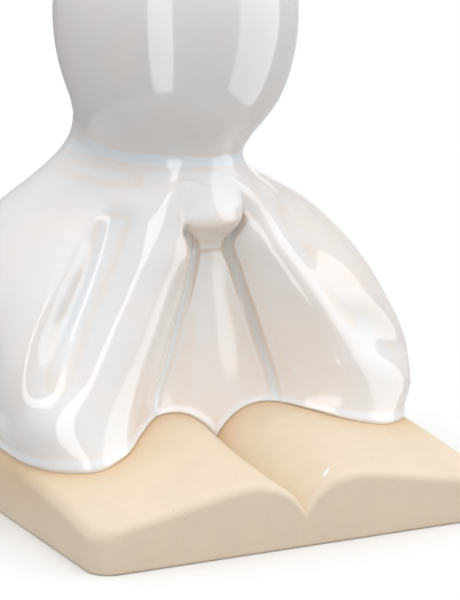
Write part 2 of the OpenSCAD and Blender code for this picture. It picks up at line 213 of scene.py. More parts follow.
class FigurineSizes(bpy.types.PropertyGroup):
    """Sizes of the figure and of the book under it."""

    base_w: length("Book width", "Width of the open book", 0.108)
    base_d: length("Book depth", "Depth of the book from front to back", 0.116)
    gutter_h: length("Gutter height", "Height of the book at the gutter between its pages", 0.015)
    page_rise: length("Page rise", "Rise of each page above the gutter", 0.0078)
    page_crest: length("Page crest", "Distance from the gutter to the top of each page", 0.014)
    edge_r: length("Edge radius", "Radius of the book's upper edges", 0.0024)
    corner_r: length("Corner radius", "Radius of the book's corners seen from above", 0.006)
    front_fall: length("Front fall", "Fall of the pages from the figure to the front edge", 0.0058)
    gutter_fall: length("Gutter fall", "Further fall of the gutter before the figure", 0.002)
    side_fall: length("Side fall", "Fall of the pages to their outer edges", 0.002)
    base_wall: length("Book wall", "Thickness of the walls round the hollow underside", 0.007)
    hollow_h: length("Hollow height", "Height of the hollow underside", 0.005)
    vent_d: length("Vent", "Diameter of the firing vent between the two hollows", 0.006)
    cloak_w: length("Cloak width", "Width across the folds of the cloak", 0.112)
    body_d: length("Body depth", "Depth of the body from the belly to the back", 0.065)
    body_h: length("Body height", "Height from the gutter to the neck joint", 0.0677)
    chest_out: length("Chest", "How far the chest stands out over the belly", 0.0066)
    left_reach: length("Left reach", "Reach of the left fold's foot past the right one's", 0.005)
    right_full: length("Right fullness", "How far the right fold stands out past the left", 0.004)
    ridge_r: length("Ridge rubbing", "Reach of the rubbing on the right front fold's ridge", 0.0022)
    panel_run: length("Panel run", "How far the belly panel runs on behind its right crease", 0.003)
    neck_w: length("Neck width", "Width of the neck at its joint with the head", 0.038)
    neck_d: length("Neck depth", "Depth of the neck at its joint with the head", 0.0565)
    neck_back: length("Neck place", "Distance from the belly back to the front of the neck", 0.004)
    belly_back: length("Belly place", "Distance from the front of the book to the belly", 0.0495)
    head_w: length("Head width", "Width of the head", 0.061)
    head_mid: length("Head middle", "Height from the neck joint to the middle of the head", 0.0363)
    crown_h: length("Crown height", "Height from the middle of the head to its crown", 0.031)
    head_back: length("Head place", "Distance from the belly back to the head's axis", 0.0205)
    fold_t: length("Fold thickness", "Thickness of the folds and of the chest", 0.0035)
    wall: length("Wall", "Thickness of the body's and the head's walls", 0.0035)
    seat_gap: length("Slip layer", "Layer of slip between the figure and the pages", 0.00025)
    spigot_gap: length("Spigot gap", "Clearance round the neck spigot", 0.0003)
    spigot_h: length("Spigot height", "Height of the neck spigot inside the head", 0.004)
    lip: length("Glaze lip", "How far the rolled edge of the glaze stands out at the foot", 0.0006)
    lip_h: length("Lip height", "Height of the rolled edge of the glaze", 0.0042)
    crease: length("Crease depth", "Depth of the modelled line along each crease", 0.0011)
    crease_w: length("Crease width", "Half width of the modelled line along each crease", 0.0011)
    pooling: length("Glaze pooling", "Radius to which the glaze fills the creases", 0.0012)
    neck_fill: length("Neck glaze", "Radius to which the glaze fills the neck in front", 0.0034)
    nape_fill: length("Nape", "Radius to which the neck is rounded behind", 0.0075)


class FigurineFinish(bpy.types.PropertyGroup):
    """Colours of the glaze and of the bare clay."""

    glaze: colour("Glaze", "Glaze on the open surfaces", (0.87, 0.835, 0.823))
    pearl: colour("Pearl", "Cooler cast that drifts through the glaze", (0.845, 0.85, 0.855))
    pooled: colour("Pooled glaze", "Thick glaze in creases and along the foot", (0.85, 0.905, 0.95))
    thin: colour("Thin glaze", "Glaze drawn thin over the warm body", (0.84, 0.72, 0.61))
    # Painted shade: the grey line painted along the creases and under the chest, and its brown edges,
    # which are painted shade with some of the warm body showing through
    crease_shade_grey: colour("Stained glaze", "Grey line along the creases", (0.67, 0.66, 0.65))
    crease_shade_edge: colour("Rust", "Brown edges of that line, from the body", (0.64, 0.51, 0.40))
    clay: colour("Clay", "Bare clay of the book", (0.795, 0.668, 0.51))
    # Painted shade beside the glazed foot: clay darker and warmer there, partly its own flashing
    clay_flash_and_shade: colour("Warm clay", "Warmer clay beside the glazed foot", (0.76, 0.56, 0.36))
    clay_speck: colour("Specks", "Dark grains in the clay", (0.20, 0.14, 0.09))


class FigurineStage(bpy.types.PropertyGroup):
    """Floor, light and camera of the studio picture."""

    floor: colour("Floor", "Colour of the floor in the picture", (0.88, 0.88, 0.88))
    bounce: colour("Floor bounce", "Floor colour for the light it throws back", (0.4, 0.4, 0.4))
    stand: length("Floor width", "Width of the round stand the object is on", 0.25)
    fill: brightness("Fill light", "Strength of the even light from above", 1.0)
    under: brightness("Low fill", "Strength of the even light from below", 0.15)
    strip: brightness("Strip light", "Radiance of the tall light left of the camera", 0.5)
    strip_shine: brightness("Strip shine", "Radiance of the tall light as the glaze mirrors it", 4.0)
    side: brightness("Side light", "Radiance of the large light on the right", 0.35)
    side_shine: brightness("Side shine", "Radiance of the large light as the glaze mirrors it", 2.6)
    upper_shine: brightness("Upper shine", "The light over the large one as the glaze mirrors it", 1.0)
    flag_left: brightness("Left flag", "Grey card beside the background on the left", 0.35)
    flag_right: brightness("Right flag", "Grey card beside the background on the right", 0.7)
    flag_over: brightness("Upper flag", "Grey card above the background", 0.55)
    top: brightness("Top light", "Radiance of the light overhead", 0.6)
    azimuth: angle("Azimuth", "Direction of the camera round the object", -26.7)
    elevation: angle("Elevation", "Height of the camera over the horizon", 12.3)
    distance: length("Distance", "Distance from the camera to the figure's foot", 0.675)
    lens: FloatProperty(
        name="Lens", description="Focal length of the camera", default=162.0, min=1.0, unit="CAMERA"
    )


def sizes_now():
    """The sizes as they stand, in the order of their group."""
    sizes = bpy.context.scene.figurine_sizes
    return tuple(getattr(sizes, key) for key in FigurineSizes.__annotations__)


class Figure:
    """The figurine's sizes in millimetres, and the curves that follow from them."""

    def __init__(self, sizes):
        for key, size in zip(FigurineSizes.__annotations__, sizes):
            setattr(self, key, size / MM)
        self.belly_y = self.belly_back - self.base_d / 2
        self.foot_z = self.gutter_h + self.seat_gap
        self.neck_z = self.foot_z + self.body_h
        self.neck_mid = self.neck_back + self.neck_d / 2
        self.neck_rear = self.neck_back + self.neck_d
        angles = np.radians(NECK_ANGLES)
        neck_x = self.neck_w / 2 * np.sin(angles)
        neck_y = self.neck_mid - self.neck_d / 2 * np.cos(angles)
        self.course_x = np.vstack([np.array(OUTLINE_X) * self.cloak_w / 2, neck_x])
        self.course_y = np.vstack([np.array(OUTLINE_Y) * self.body_d, neck_y])

    def page(self, x, y):
        """Height of a page over the gutter, with its fall to the front and to the sides."""
        s = np.abs(x) / self.page_crest
        ahead = np.maximum(0, 1 - (y + self.base_d / 2) / self.belly_back)
        aside = np.maximum(0, 1 - (self.base_w / 2 - np.abs(x)) / SIDE_RUN)
        rise = self.page_rise * s * np.exp(1 - s)
        dip = self.gutter_fall * 4 * ahead * (1 - ahead) * bell(x, 0, GUTTER_W)
        return rise - self.front_fall * ahead**1.3 - dip - self.side_fall * aside**2

    def chest(self, u, x, h):
        """How far the chest stands out of the belly, and its run into the folds above the creases."""
        out = 1 - np.clip((h - CHEST_FULL) / CHEST_FADE, 0, 1) ** 1.2
        narrow = np.maximum(0, 1 - u * u) ** 0.75 * smooth(0.684, CHEST_FULL, h)
        wide = np.where(u < 0, smooth(0.755, 0.815, h), smooth(0.80, 0.90, h))
        broad = bell(x, 0, self.cloak_w * np.where(u < 0, 0.09, 0.08))
        beside = np.where(u < 0, smooth(1, 2.2, -u) * smooth(0.5, 0.8, h), 0)
        broad = broad * (1 - smooth(4, 6, np.abs(u)))
        return self.chest_out * out * (narrow * (1 - wide) + broad * (wide + (1 - wide) * beside))

    def outline(self, h, side):
        """Corners of one half of the outline at height share h, with a mirrored point past each end."""
        x = curve(self.course_x, LEVELS, np.array([h]))[0]
        y = curve(self.course_y, LEVELS, np.array([h]))[0]
        if side < 0:
            x = x + self.left_reach * max(0, 1 - h / SPREAD_TOP) ** 1.2 * np.array(SPREAD_SHARE)
            y = y - self.left_reach * (1 - smooth(*REACH_FADE, h)) * np.array(REACH_SHARE)
        else:
            low = self.right_full * swell(h, LOW_IN, LOW_OUT)
            high = self.right_full * swell(h, HIGH_IN, HIGH_OUT)
            panel = self.panel_run * swell(h, PANEL_IN, PANEL_OUT)
            x = x + low * np.array(LOW_X) + high * np.array(HIGH_X) + panel * np.array(PANEL_SHARE)
            y = y - low * np.array(LOW_Y) - high * np.array(HIGH_Y)
        p = np.column_stack([x, y])
        flip = np.array([-1, 1])
        return np.vstack([p[1] * flip, p, p[-2] * flip])

    def skin_row(self, us, h, inset=0.0):
        """Points of the skin at stations us and height share h, drawn in by inset to the middle."""
        flat = np.empty((len(us), 2))
        for side in (-1, 1):
            here = (us < 0) if side < 0 else (us >= 0)
            if not here.any():
                continue
            p = self.outline(h, side)
            k = np.concatenate([[0], np.cumsum(np.linalg.norm(np.diff(p, axis=0), axis=1))])
            u = np.abs(us[here])
            n = np.minimum(BACK - 1, np.floor(u)).astype(int) + 1
            q = curve(p, k, k[n] + (u - n + 1) * (k[n + 1] - k[n]))
            chest = self.chest(side * u, q[:, 0], h)
            flat[here] = np.column_stack([side * q[:, 0], q[:, 1] - chest])
        mid = np.array([0, self.body_d * (0.46 + 0.07 * h)])
        way = mid - flat
        flat = flat + way * (np.asarray(inset) / np.linalg.norm(way, axis=1))[:, None]
        y = flat[:, 1] + self.belly_y
        sink = max(0, 1 - h / SINK_TOP) ** 2
        z = self.foot_z + h * self.body_h + self.page(flat[:, 0], y) * sink
        return np.column_stack([flat[:, 0], y, z])

    def egg(self, z):
        """Radius of the head at height z over the neck joint."""
        low = self.head_mid + CHIN_DROP
        t = (z - self.head_mid) / np.where(z < self.head_mid, low, self.crown_h)
        return self.head_w / 2 * np.sqrt(np.maximum(0, 1 - t * t))

    def nape(self, z):
        """Line of the neck behind the head."""
        return self.neck_rear - NAPE_SLOPE * z

    def neck_angles(self, ring):
        """Angles from the front of the points of a ring round the neck, which begins at the back."""
        ahead = (self.neck_mid - ring[:, 1] + self.belly_y) / self.neck_d
        angles = np.arctan2(ring[:, 0] / self.neck_w, ahead)
        angles[0] = -math.pi
        return angles

    def head_section(self, z):
        """Front, rear and half width of the head at height z."""
        egg = self.egg(z)
        e = self.head_back - egg
        front = e + (self.neck_back - e) * np.maximum(0, 1 - z / CHIN_H) ** 2
        near = np.minimum(1, z / 4)
        rear = soft_max(self.head_back + egg, self.nape(z), 3 * near)
        half = soft_max(egg, self.neck_w / 2 * (1 - z / NECK_TAPER), 4 * near)
        return front, rear, half

    def head_ring(self, angles, z, inset=0.0, lift=0.0):
        """A ring of the head at height z, drawn in by a wall, from its columns' angles at the neck."""
        even = np.linspace(-math.pi, math.pi, len(angles) + 1)[:-1]
        share = smooth(*TURN, z)
        angles = angles * (1 - share) + even * share
        front, rear, half = self.head_section(np.asarray(z, float))
        front, rear, half = front + inset, rear - inset, half - inset
        y = self.belly_y + (front + rear) / 2 - (rear - front) / 2 * np.cos(angles)
        z = np.full(len(angles), self.neck_z + z + lift)
        return np.column_stack([half * np.sin(angles), y, z])


def smooth(a, b, x):
    """A soft step from 0 at a to 1 at b."""
    t = np.clip((np.asarray(x, float) - a) / (b - a), 0, 1)
    return t * t * (3 - 2 * t)


def swell(x, rise, fall):
    """A value that comes in over one range of x and goes out over another."""
    return smooth(*rise, x) * (1 - smooth(*fall, x))


def bell(x, middle, width, power=2):
    """1 in the middle, falling off over the width to each side."""
    return np.exp(-(((x - middle) / width) ** power))


def soft_max(a, b, k):
    """The larger of two values, rounded over k where they cross."""
    return (a + b + np.sqrt((a - b) ** 2 + k**2)) / 2


def curve(points, knots, at):
    """Cubic curve through the points at the knots, with slopes from each three neighbours."""
    p, k = np.asarray(points, float), np.asarray(knots, float)
    d = np.diff(k)
    q = np.diff(p, axis=0) / d[:, None]
    a, b = d[:-1, None], d[1:, None]
    s = np.vstack([q[:1], (q[:-1] * b + q[1:] * a) / (a + b), q[-1:]])
    i = np.clip(np.searchsorted(k, at, side="right") - 1, 0, len(k) - 2)
    m = d[i][:, None]
    t = (at[:, None] - k[i][:, None]) / m
    return (
        (2 * t**3 - 3 * t**2 + 1) * p[i]
        + (t**3 - 2 * t**2 + t) * m * s[i]
        + (3 * t**2 - 2 * t**3) * p[i + 1]
        + (t**3 - t**2) * m * s[i + 1]
    )


def eased(start, end, count, close=""):
    """Stations from start up to before end, closer together at the start 'a' or at the end 'b'."""
    t = np.arange(count) / count
    if close == "a":
        t = 0.35 * t + 0.65 * t**2
    elif close == "b":
        t = 1 - (0.35 * (1 - t) + 0.65 * (1 - t) ** 2)
    return start + (end - start) * t


# Stations of the right half, closer at the crease and at the groove, and then of the whole round
HALF_STATIONS = np.concatenate(
    [
        eased(0, CREASE, 24, "b"),
        eased(CREASE, 2, 22, "a"),
        eased(2, 4, 26),
        eased(4, GROOVE, 14, "b"),
        eased(GROOVE, 6, 14, "a"),
        eased(6, BACK, 42),
        [BACK],
    ]
)
STATIONS = np.concatenate([-HALF_STATIONS[:0:-1], HALF_STATIONS[:-1]])
# Columns of the belly and the chest
BELLY = np.nonzero(np.abs(STATIONS) <= CREASE + 1e-6)[0]


def body_rows(figure):
    """Height shares of the skin's rows, closer at foot and neck, with one on the chest's seam."""
    foot = CLOSE_ROWS / figure.body_h
    neck = 1 - CLOSE_ROWS / figure.body_h
    return np.concatenate(
        [
            np.linspace(0, foot, 16, endpoint=False),
            np.linspace(foot, CHEST_SEAM, 84, endpoint=False),
            np.linspace(CHEST_SEAM, neck, 48, endpoint=False),
            np.linspace(neck, 1, 15),
        ]
    )


def head_rows(figure):
    """Heights of the head's rows over the neck joint, closer at the joint."""
    arc = np.radians(np.linspace(0, 87.5, 46))
    return np.concatenate(
        [
            np.linspace(0.3, CLOSE_HEAD, 18, endpoint=False),
            np.linspace(CLOSE_HEAD, figure.head_mid, 44, endpoint=False),
            figure.head_mid + figure.crown_h * np.sin(arc),
        ]
    )


def grid_normals(p):
    """Unit normals of a grid of points whose rows close on themselves."""
    along = np.roll(p, -1, axis=1) - np.roll(p, 1, axis=1)
    up = np.empty_like(p)
    up[1:-1] = p[2:] - p[:-2]
    up[0] = p[1] - p[0]
    up[-1] = p[-1] - p[-2]
    n = np.cross(along, up)
    return n / np.maximum(1e-12, np.linalg.norm(n, axis=2, keepdims=True))


def bend(p, n):
    """Depth of each point under the chord of its neighbours, round and up, and the spans to them."""
    before, after = np.roll(p, 1, axis=1), np.roll(p, -1, axis=1)
    a = np.linalg.norm(p - before, axis=2)
    b = np.linalg.norm(after - p, axis=2)
    mid = (before * b[..., None] + after * a[..., None]) / (a + b)[..., None]
    round_dip, round_span = ((mid - p) * n).sum(axis=2), a * b
    up_dip, up_span = np.zeros(p.shape[:2]), np.ones(p.shape[:2])
    a = np.linalg.norm(p[1:-1] - p[:-2], axis=2)
    b = np.linalg.norm(p[2:] - p[1:-1], axis=2)
    mid = (p[:-2] * b[..., None] + p[2:] * a[..., None]) / (a + b)[..., None]
    up_dip[1:-1], up_span[1:-1] = ((mid - p[1:-1]) * n[1:-1]).sum(axis=2), a * b
    return round_dip, round_span, up_dip, up_span


def fill_up(p, time, crests=False):
    """Fills hollows along the grid's columns, or levels crests too, each point by its own time."""
    inside = np.nonzero(time.max(axis=1) > 1e-3)[0]
    low, high = inside[0] - 1, min(inside[-1] + 2, len(p) - 1)
    n = grid_normals(p)[low:high]
    q, t = p[low:high], time[low:high]
    span = np.linalg.norm(np.diff(q, axis=0), axis=2)
    a, b = span[:-1], span[1:]
    rows = np.arange(len(q))
    system = np.zeros((q.shape[1], len(q), len(q)))
    system[:, rows, rows] = 1
    mid = rows[1:-1]
    system[:, mid, mid] += (2 * t[1:-1] / (a * b)).T
    system[:, mid, mid - 1] -= (2 * t[1:-1] / (a * (a + b))).T
    system[:, mid, mid + 1] -= (2 * t[1:-1] / (b * (a + b))).T
    way = np.linalg.solve(system, q.transpose(1, 0, 2)).transpose(1, 0, 2) - q
    filled = p.copy()
    filled[low:high] += way if crests else way * smooth(0, 0.2, (way * n).sum(axis=2))[..., None]
    return filled


def spread(values, times):
    """Softens a value over the grid."""
    for _ in range(times):
        padded = np.vstack([values[:1], values, values[-1:]])
        aside = np.roll(values, 1, axis=1) + np.roll(values, -1, axis=1)
        values = (2 * values + aside + padded[:-2] + padded[2:]) / 6
    return values


def bare_skin(figure, hs):
    """The outer skin before glazing, up to the crown, its rows' height shares and the neck's own row."""
    rows = [figure.skin_row(STATIONS, h) for h in hs]
    neck = rows[-1]
    angles = figure.neck_angles(neck)
    turned = head_rows(figure)
    rows[-1:] = [figure.head_ring(angles, z) for z in (0.0, *turned)]
    return np.array(rows), np.concatenate([hs, 1 + turned / figure.body_h]), neck


def rub_ridge(figure, p, heights):
    """Rubs the ridge of the right front fold broad."""
    rubbed = bell(STATIONS, RIDGE, RIDGE_W) * figure.ridge_r**2
    rubbed = rubbed[:, None] * swell(heights, RUB_IN, RUB_OUT)[None]
    return fill_up(p.transpose(1, 0, 2), rubbed, crests=True).transpose(1, 0, 2)


def crease_lines(figure, p, heights):
    """The line modelled along each crease, and the painted shade along the creases and under the chest.
    """
    line, stain = np.zeros(p.shape[:2]), np.zeros(p.shape[:2])
    for station, end in CREASE_LINES:
        column = int(np.argmin(np.abs(STATIONS - station)))
        away = np.linalg.norm(p - p[:, column : column + 1], axis=2)
        beside = np.abs(STATIONS - station) < CREASE_REACH
        here = beside * swell(heights, CREASE_IN, (end - CREASE_FADE, end))[:, None]
        line = np.maximum(line, bell(away, 0, figure.crease_w) * here)
        stain = np.maximum(stain, bell(away, 0, CREASE_SHADE_W * figure.crease_w, 4) * here)
    # Painted shade under the chest, along its seam
    seam = np.argmin(np.abs(heights - CHEST_SEAM))
    under = bell(np.linalg.norm(p - p[seam], axis=2), 0, 0.9)
    under = under * (1 - smooth(0.9, 1.1, np.abs(STATIONS)))
    return line, np.maximum(stain, 0.3 * under)


def pour_glaze(figure, p):
    """Lets glaze run into the hollows; crests stay as they are."""
    for turn in range(int(figure.pooling**2 / FLOW_STEP)):
        if turn % 8 == 0:
            n = grid_normals(p)
        dip, span, rise, reach = bend(p, n)
        flow = np.minimum(2 * FLOW_STEP / span, FLOW_MOST) * dip
        flow = flow + np.minimum(2 * FLOW_STEP / reach, FLOW_MOST) * rise
        p = p + n * np.maximum(0, flow)[..., None]
    return p


def fill_neck(figure, p, heights, neck):
    """Fills the neck, with glaze in front and with the nape behind; gives the band of glaze too."""
    angles = np.degrees(np.abs(figure.neck_angles(neck)))
    near = bell((heights - 1) * figure.body_h, 0, NECK_REACH, 4)[:, None]
    fill = np.interp(angles, FILL_ANGLES, (*FILL_SHARES, figure.nape_fill / figure.neck_fill))
    p = fill_up(p, near * (figure.neck_fill * fill)[None] ** 2)
    p = fill_up(p, near * (NAPE_LEVEL * smooth(95, 135, angles))[None] ** 2, crests=True)
    steps = np.linalg.norm(np.diff(p, axis=0), axis=2)
    run = np.vstack([np.zeros((1, p.shape[1])), np.cumsum(steps, axis=0)])
    joint = int(np.argmin(np.abs(heights - 1)))
    # The band climbs to the left, and higher and broader at the sides
    climb = 1.0 - 0.9 * neck[:, 0] / 15 + 3.5 * smooth(60, 115, angles)
    run = (run - run[joint] - climb) / (1.2 + 1.0 * smooth(55, 85, angles))
    band = bell(run, 0, 1, 4) * (1 - 0.75 * smooth(62, 100, angles))
    return p, band * (1 - smooth(105, 150, angles))


def roll_lip(figure, p, heights):
    """Rolls a lip along the foot, and adds a row below that tucks it in."""
    lip = swell(heights * figure.body_h, (-0.5, 0.9), (0.2 * figure.lip_h, figure.lip_h))
    flat = grid_normals(p) * np.array([1, 1, 0])
    flat /= np.maximum(1e-9, np.linalg.norm(flat, axis=2, keepdims=True))
    p = p + flat * (figure.lip * lip)[:, None, None]
    p[..., 0] = np.clip(p[..., 0], CAD_BOX[0][0] / MM, CAD_BOX[1][0] / MM)
    foot = p[:1] - flat[:1] * FOOT_TUCK - np.array([0, 0, figure.seat_gap + FOOT_SINK])
    return np.vstack([foot, p])


def glaze_marks(figure, p, n, heights, pool, stain):
    """Where the glaze is pooled and thin, where shade is painted along the creases, and how strongly
    that painted shade shows.
    """
    dip, span, rise, reach = bend(p, n)
    crest = np.clip(-2 * (dip / span + rise / reach), 0, 1.2)
    thin = spread(np.clip((crest - 0.07) / 0.35, 0, 1), 10)
    shoulder = bell(STATIONS, *SHOULDER)[None] * bell(heights, *SHOULDER_H)[:, None]
    low = 1 - smooth(0.45 * figure.lip_h, figure.lip_h, heights * figure.body_h)
    pool = np.maximum(pool, 0.45 * low[:, None])
    # The painted shade fades down the right crease and hardly shows on the left one
    wash = smooth(0.02, 0.15, heights) * (0.3 + 0.7 * smooth(0.15, 0.6, heights))
    wash = wash[:, None] * np.where(STATIONS > -0.75, 1, 0.12)
    marks = {"pool": pool, "thin": shoulder, "stain": stain, "wash": wash}
    marks = {key: np.vstack([values[:1], values]) for key, values in marks.items()}
    marks["pool"] = spread(marks["pool"], 4)
    marks["thin"] = np.maximum(thin, marks["thin"])
    return marks


@functools.lru_cache(maxsize=1)
def skin_for(sizes):
    """The whole glazed skin, from the foot up to the crown, for these sizes."""
    figure = Figure(sizes)
    hs = body_rows(figure)
    p, heights, neck = bare_skin(figure, hs)
    p = rub_ridge(figure, p, heights)
    line, stain = crease_lines(figure, p, heights)
    bare = p - grid_normals(p) * (figure.crease * line)[..., None]
    p = pour_glaze(figure, bare)
    depth = np.linalg.norm(p - bare, axis=2)
    p, band = fill_neck(figure, p, heights, neck)
    p = roll_lip(figure, p, heights)
    n = grid_normals(p)
    pool = np.maximum(np.clip(depth / POOL_DEPTH, 0, 1), band)
    return figure, np.concatenate([[0], hs]), p, n, glaze_marks(figure, p, n, heights, pool, stain)


def glazed_skin():
    """The figure, its rows' height shares up to the neck, points, normals and marks of the glaze."""
    return skin_for(sizes_now())


def finish_piece(name, verts, faces, material, node, normals=None, layers=None):
    """Makes a mesh piece, gives it its finish and ties it to the frame."""
    mesh = bpy.data.meshes.new(name)
    mesh.from_pydata((np.asarray(verts) * MM).tolist(), [], faces)
    mesh.update()
    if mesh.validate():
        raise RuntimeError(f"the mesh of {name} has faulty faces")
    mesh.shade_smooth()
    for key, values in (layers or {}).items():
        layer = mesh.attributes.new(key, "FLOAT", "POINT")
        layer.data.foreach_set("value", np.asarray(values, np.float32))
    if normals is not None:
        own = np.empty(len(mesh.vertices) * 3)
        mesh.vertex_normals.foreach_get("vector", own)
        own = own.reshape(-1, 3)
        given = np.full_like(own, np.nan)
        given[: len(normals)] = normals
        own = np.where(np.isnan(given), own, given)
        mesh.normals_split_custom_set_from_vertices(own.tolist())
    mesh.materials.append(material)
    piece = bpy.data.objects.new(name, mesh)
    bpy.context.scene.collection.objects.link(piece)
    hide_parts(node)
    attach(piece, "root")
    return piece


def cell_faces(rows, columns, first=0, wrap=False, inward=False):
    """Four-sided faces of a grid of points, row by row."""
    faces = []
    for j in range(rows - 1):
        for i in range(columns if wrap else columns - 1):
            a, b = first + j * columns + i, first + j * columns + (i + 1) % columns
            face = (a, b, b + columns, a + columns)
            faces.append(face[::-1] if inward else face)
    return faces


def band_faces(outer, inner):
    """Faces between two open lines of points, given by their numbers."""
    return [(outer[i], inner[i], inner[i + 1], outer[i + 1]) for i in range(len(outer) - 1)]


def shell(name, node, columns, rows, inner):
    """A closed piece of the skin: the glazed grid, the given grid inside it and walls between."""
    _, _, p, n, marks = glazed_skin()
    pick = np.ix_(rows, columns)
    m, w = len(rows), len(columns)
    count = m * w
    verts = np.vstack([p[pick].reshape(-1, 3), inner.reshape(-1, 3)])
    number = np.arange(count).reshape(m, w)
    faces = cell_faces(m, w) + cell_faces(m, w, count, inward=True)
    faces += band_faces(number[0], number[0] + count)
    faces += band_faces(number[-1][::-1], number[-1][::-1] + count)
    faces += band_faces(number[::-1, 0], number[::-1, 0] + count)
    faces += band_faces(number[:, -1], number[:, -1] + count)
    blank = np.zeros(count)
    layers = {key: np.concatenate([values[pick].ravel(), blank]) for key, values in marks.items()}
    faces = [tuple(int(v) for v in f) for f in faces]
    return finish_piece(
        name, verts, faces, glaze_material(), node, n[pick].reshape(-1, 3), layers
    )


def fold(name, node, low, high):
    """One fold of the cloak, between two stations."""
    figure, hs, *_ = glazed_skin()
    columns = [i for i, u in enumerate(STATIONS) if low - 1e-6 <= u <= high + 1e-6]
    stations = STATIONS[columns]
    if high == BACK:
        columns, stations = columns + [0], np.append(stations, BACK)
    rows = list(range(len(hs)))
    inner = np.array([figure.skin_row(stations, h, figure.fold_t) for h in hs])
    inner[0, :, 2] -= figure.seat_gap
    return shell(name, node, columns, rows, inner)


def empty_tree(data):
    """The node tree of a material or a world, emptied."""
    data.use_nodes = True
    data.node_tree.nodes.clear()
    return data.node_tree


def new_material(name):
    """A material with its nodes made anew: its tree, surface shader and Object coordinates."""
    material = bpy.data.materials.get(name) or bpy.data.materials.new(name)
    tree = empty_tree(material)
    out = tree.nodes.new("ShaderNodeOutputMaterial")
    shader = tree.nodes.new("ShaderNodeBsdfPrincipled")
    place = tree.nodes.new("ShaderNodeTexCoord")
    tree.links.new(shader.outputs["BSDF"], out.inputs["Surface"])
    return material, tree, shader, place.outputs["Object"]


def noise(tree, place, size, detail=2.0, roughness=0.5):
    """Soft noise with lumps of about the given size in metres."""
    node = tree.nodes.new("ShaderNodeTexNoise")
    node.inputs["Scale"].default_value = 1 / size
    node.inputs["Detail"].default_value = detail
    node.inputs["Roughness"].default_value = roughness
    tree.links.new(place, node.inputs["Vector"])
    return node.outputs["Fac"]


def ranged(tree, value, low, high, to_low=0.0, to_high=1.0):
    """Maps a value from one range to another, with soft ends."""
    node = tree.nodes.new("ShaderNodeMapRange")
    node.interpolation_type = "SMOOTHSTEP"
    ends = {"From Min": low, "From Max": high, "To Min": to_low, "To Max": to_high}
    for key, number in ends.items():
        node.inputs[key].default_value = number
    tree.links.new(value, node.inputs["Value"])
    return node.outputs["Result"]


def maths(tree, operation, a, b):
    """One step of arithmetic on sockets or numbers."""
    node = tree.nodes.new("ShaderNodeMath")
    node.operation = operation
    for socket, value in zip(node.inputs, (a, b)):
        if isinstance(value, (int, float)):
            socket.default_value = value
        else:
            tree.links.new(value, socket)
    return node.outputs[0]


def measure(tree, operation, place, other=(0, 0, 0)):
    """A length, a distance or a product of a place, as a number."""
    node = tree.nodes.new("ShaderNodeVectorMath")
    node.operation = operation
    node.inputs[1].default_value = other
    tree.links.new(place, node.inputs[0])
    return node.outputs["Value"]


def blend(tree, share, a, b):
    """Mixes two colours, each a socket or three numbers."""
    node = tree.nodes.new("ShaderNodeMix")
    node.data_type = "RGBA"
    tree.links.new(share, node.inputs[0])
    for socket, value in ((node.inputs[6], a), (node.inputs[7], b)):
        if hasattr(value, "links"):
            tree.links.new(value, socket)
        else:
            socket.default_value = (*value, 1.0)
    return node.outputs[2]


def layer(tree, name):
    """A value stored on the mesh."""
    node = tree.nodes.new("ShaderNodeAttribute")
    node.attribute_name = name
    return node.outputs["Fac"]


def bump(tree, height, distance, under=None):
    """Surface relief of the given depth in metres."""
    node = tree.nodes.new("ShaderNodeBump")
    node.inputs["Distance"].default_value = distance
    tree.links.new(height, node.inputs["Height"])
    if under is not None:
        tree.links.new(under, node.inputs["Normal"])
    return node.outputs["Normal"]


def mix_shaders(tree, share, a, b, out):
    """Mixes two shaders into the output."""
    node = tree.nodes.new("ShaderNodeMixShader")
    for socket, value in zip(node.inputs, (share, a.outputs[0], b.outputs[0])):
        tree.links.new(value, socket)
    tree.links.new(node.outputs[0], out.inputs["Surface"])


def glaze_material():
    """White glaze: cool where it pools, warm where it is drawn thin, with a slow pearly drift, and
    painted shade along the creases and under the chest.
    """
    finish = bpy.context.scene.figurine_finish
    material, tree, shader, place = new_material("white_glaze")
    pool, thin = layer(tree, "pool"), layer(tree, "thin")
    drift = ranged(tree, noise(tree, place, 0.022, 3.0), 0.35, 0.68)
    ground = blend(tree, drift, finish.glaze, finish.pearl)
    cloud = ranged(tree, noise(tree, place, 0.006, 4.0, 0.6), 0.30, 0.75, 0.35, 1.0)
    worn = maths(tree, "MULTIPLY", thin, cloud)
    ground = blend(tree, maths(tree, "MULTIPLY", worn, 0.75), ground, finish.thin)
    edge_in, edge_out = ranged(tree, pool, 0.01, 0.09), ranged(tree, pool, 0.14, 0.30, 1.0, 0.0)
    edge = maths(tree, "MULTIPLY", maths(tree, "MULTIPLY", edge_in, edge_out), cloud)
    ground = blend(tree, maths(tree, "MULTIPLY", edge, 0.42), ground, finish.thin)
    ground = blend(tree, ranged(tree, pool, 0.15, 0.75), ground, finish.pooled)
    # Painted shade along the creases and under the chest: brown at its edges, grey in its core
    stain, wash = layer(tree, "stain"), layer(tree, "wash")
    brown = maths(tree, "MULTIPLY", wash, ranged(tree, stain, 0.03, 0.35, 0.0, 0.7))
    ground = blend(tree, brown, ground, finish.crease_shade_edge)
    grey = maths(tree, "MULTIPLY", wash, ranged(tree, stain, 0.4, 0.9))
    ground = blend(tree, grey, ground, finish.crease_shade_grey)
    tree.links.new(ground, shader.inputs["Base Color"])
    slick = ranged(tree, noise(tree, place, 0.009, 2.0), 0.3, 0.7, 0.05, 0.10)
    tree.links.new(slick, shader.inputs["Roughness"])
    shader.inputs["IOR"].default_value = 1.5
    waves = bump(tree, noise(tree, place, 0.012, 1.0), 0.00022)
    pores = bump(tree, noise(tree, place, 0.0014, 2.0), 0.000012, waves)
    tree.links.new(pores, shader.inputs["Normal"])
    return material


